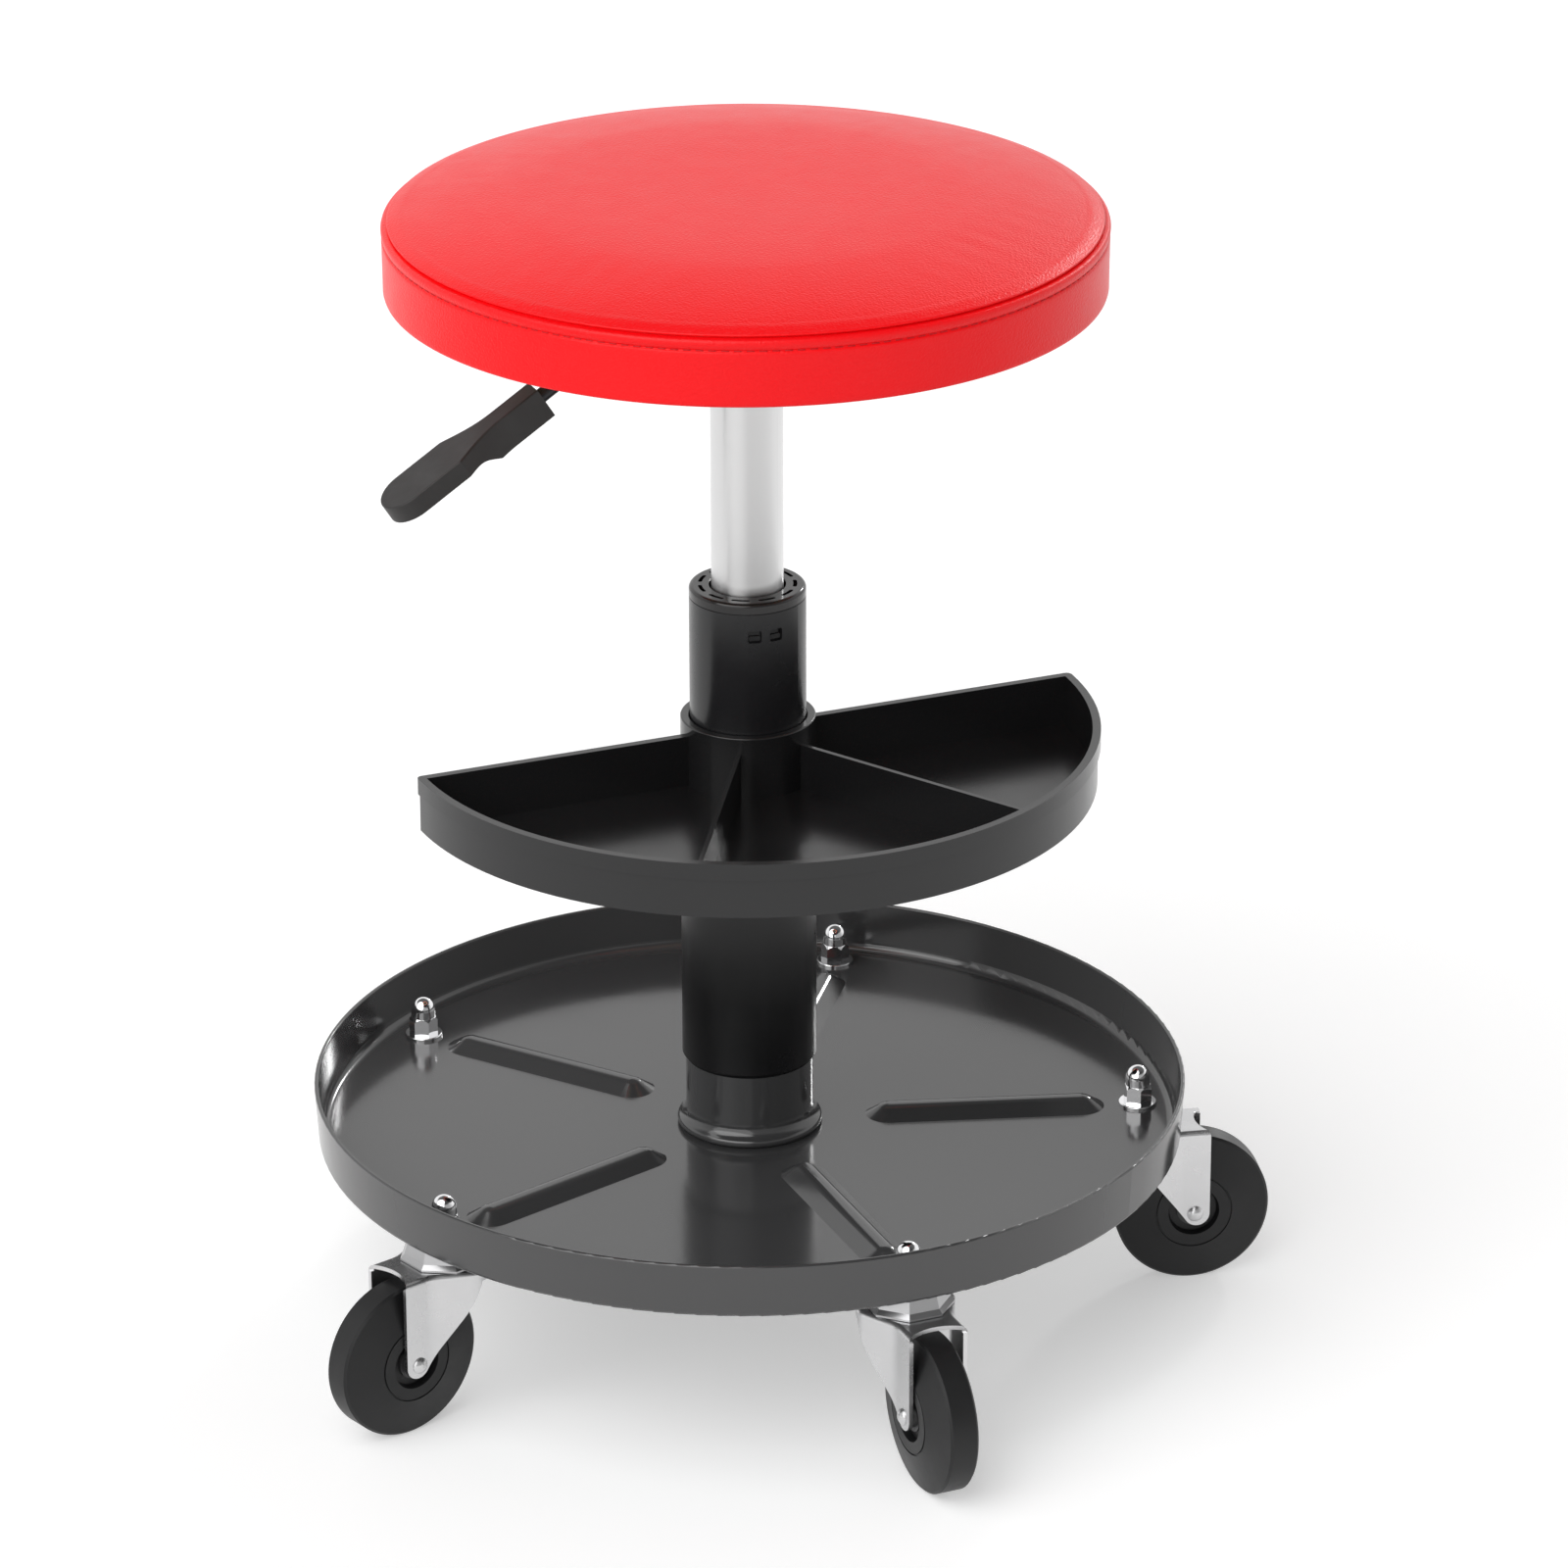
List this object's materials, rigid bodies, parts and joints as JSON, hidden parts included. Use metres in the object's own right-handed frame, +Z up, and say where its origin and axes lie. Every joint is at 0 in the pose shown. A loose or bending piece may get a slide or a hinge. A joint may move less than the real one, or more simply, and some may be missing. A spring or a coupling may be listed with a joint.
{
  "type": "mechanic stool",
  "caption": "Round padded stool on a gas lift with a height lever, a swinging half-moon tool tray and a round pan base on swivel casters.",
  "frame": {"origin": "on the floor, under the column's axis, at the middle of the footprint", "axes": "+Z up along the column; -X out from the column axis to the third caster's stem; +Y completes the right-handed set"},
  "size_m": [0.4491, 0.5165, 0.602],
  "materials": {
    "red_vinyl": "glossy",
    "seat_foam": "matte",
    "plywood": "matte",
    "black_enamel": "glossy",
    "black_satin_enamel": "satin",
    "tray_plastic": "glossy",
    "black_plastic": "satin",
    "grip_plastic": "satin",
    "bright_tube": "satin",
    "steel": "satin",
    "zinc_plate": "satin",
    "chrome": "mirror",
    "nylon": "matte",
    "black_rubber": "matte",
    "wheel_rubber": "satin"
  },
  "bodies": {
    "base": {"base_pan": "black_enamel", "base_socket": "black_enamel", "column_tube": "black_satin_enamel", "column_bottom_plate": "steel", "guide_bush": "black_plastic", "column_cap": "black_plastic", "spacer_sleeve": "black_plastic", "tray_washer": "nylon", "thrust_race_lower": "steel", "caster_stems": "steel", "stem_washers": "steel", "race_caps": "zinc_plate", "swivel_balls": "steel", "dome_nuts": "chrome", "nut_washers": "chrome"},
    "tray": {"half_tray": "tray_plastic"},
    "piston": {"piston_rod": "steel", "piston_head": "steel", "rod_clip": "steel", "thrust_balls": "steel", "thrust_race_upper": "steel", "bump_stop": "black_rubber"},
    "seat": {"gas_cylinder": "bright_tube", "cylinder_gland": "black_rubber", "valve_body": "steel", "mechanism_socket": "black_satin_enamel", "mechanism_housing": "black_satin_enamel", "seat_plate": "black_satin_enamel", "lever_pivot_pin": "steel", "seat_board": "plywood", "seat_foam": "seat_foam", "seat_cover": "red_vinyl", "tee_nuts": "zinc_plate", "seat_bolts": "zinc_plate", "bolt_washers": "zinc_plate"},
    "lever": {"lever_rod": "steel", "lever_handle": "grip_plastic"},
    "release": {"release_pin": "steel"},
    "caster_1": {"caster_1_fork": "zinc_plate", "caster_1_axle": "zinc_plate"},
    "wheel_1": {"caster_1_wheel": "wheel_rubber", "caster_1_hub": "nylon"},
    "caster_2": {"caster_2_fork": "zinc_plate", "caster_2_axle": "zinc_plate"},
    "wheel_2": {"caster_2_wheel": "wheel_rubber", "caster_2_hub": "nylon"},
    "caster_3": {"caster_3_fork": "zinc_plate", "caster_3_axle": "zinc_plate"},
    "wheel_3": {"caster_3_wheel": "wheel_rubber", "caster_3_hub": "nylon"},
    "caster_4": {"caster_4_fork": "zinc_plate", "caster_4_axle": "zinc_plate"},
    "wheel_4": {"caster_4_wheel": "wheel_rubber", "caster_4_hub": "nylon"},
    "caster_5": {"caster_5_fork": "zinc_plate", "caster_5_axle": "zinc_plate"},
    "wheel_5": {"caster_5_wheel": "wheel_rubber", "caster_5_hub": "nylon"}
  },
  "joints": [
    {"name": "tray_swivel", "type": "hinge", "parent": "base", "child": "tray", "pos_m": [0, 0, 0.3], "axis": [0, 0, 1], "continuous": true},
    {"name": "seat_swivel", "type": "hinge", "parent": "base", "child": "piston", "pos_m": [0, 0, 0.1], "axis": [0, 0, 1], "continuous": true},
    {"name": "seat_height", "type": "slide", "parent": "piston", "child": "seat", "axis": [0, 0, 1], "range_m": [-0.105, 0]},
    {"name": "lever_lift", "type": "hinge", "parent": "seat", "child": "lever", "pos_m": [-0.01772, -0.02421, 0.541], "axis": [-0.807, 0.5906, 0], "range_deg": [0, 8], "stiffness_Nm_per_rad": 0.8, "springref_deg": -14.32},
    {"name": "release_press", "type": "slide", "parent": "seat", "child": "release", "axis": [0, 0, -1], "range_m": [0, 0.0045]},
    {"name": "caster_1_swivel", "type": "hinge", "parent": "base", "child": "caster_1", "pos_m": [0.16261, 0.11814, 0.0872], "axis": [0, 0, 1], "continuous": true},
    {"name": "wheel_1_spin", "type": "hinge", "parent": "caster_1", "child": "wheel_1", "pos_m": [0.18448, 0.13611, 0.0405], "axis": [-0.6347, 0.7727, 0], "continuous": true},
    {"name": "caster_2_swivel", "type": "hinge", "parent": "base", "child": "caster_2", "pos_m": [-0.06211, 0.19116, 0.0872], "axis": [0, 0, 1], "continuous": true},
    {"name": "wheel_2_spin", "type": "hinge", "parent": "caster_2", "child": "wheel_2", "pos_m": [-0.07086, 0.21808, 0.0405], "axis": [-0.9511, -0.309, 0], "continuous": true},
    {"name": "caster_3_swivel", "type": "hinge", "parent": "base", "child": "caster_3", "pos_m": [-0.201, 0, 0.0872], "axis": [0, 0, 1], "continuous": true},
    {"name": "wheel_3_spin", "type": "hinge", "parent": "caster_3", "child": "wheel_3", "pos_m": [-0.20591, 0.02787, 0.0405], "axis": [-0.9848, -0.1736, 0], "continuous": true},
    {"name": "caster_4_swivel", "type": "hinge", "parent": "base", "child": "caster_4", "pos_m": [-0.06211, -0.19116, 0.0872], "axis": [0, 0, 1], "continuous": true},
    {"name": "wheel_4_spin", "type": "hinge", "parent": "caster_4", "child": "wheel_4", "pos_m": [-0.0717, -0.21779, 0.0405], "axis": [0.9409, -0.3387, 0], "continuous": true},
    {"name": "caster_5_swivel", "type": "hinge", "parent": "base", "child": "caster_5", "pos_m": [0.16261, -0.11814, 0.0872], "axis": [0, 0, 1], "continuous": true},
    {"name": "wheel_5_spin", "type": "hinge", "parent": "caster_5", "child": "wheel_5", "pos_m": [0.18559, -0.13466, 0.0405], "axis": [0.5835, 0.8121, 0], "continuous": true}
  ],
  "couplings": [
    {"joint": "release_press", "follows": "lever_lift", "m_per_rad": 0.03}
  ]
}
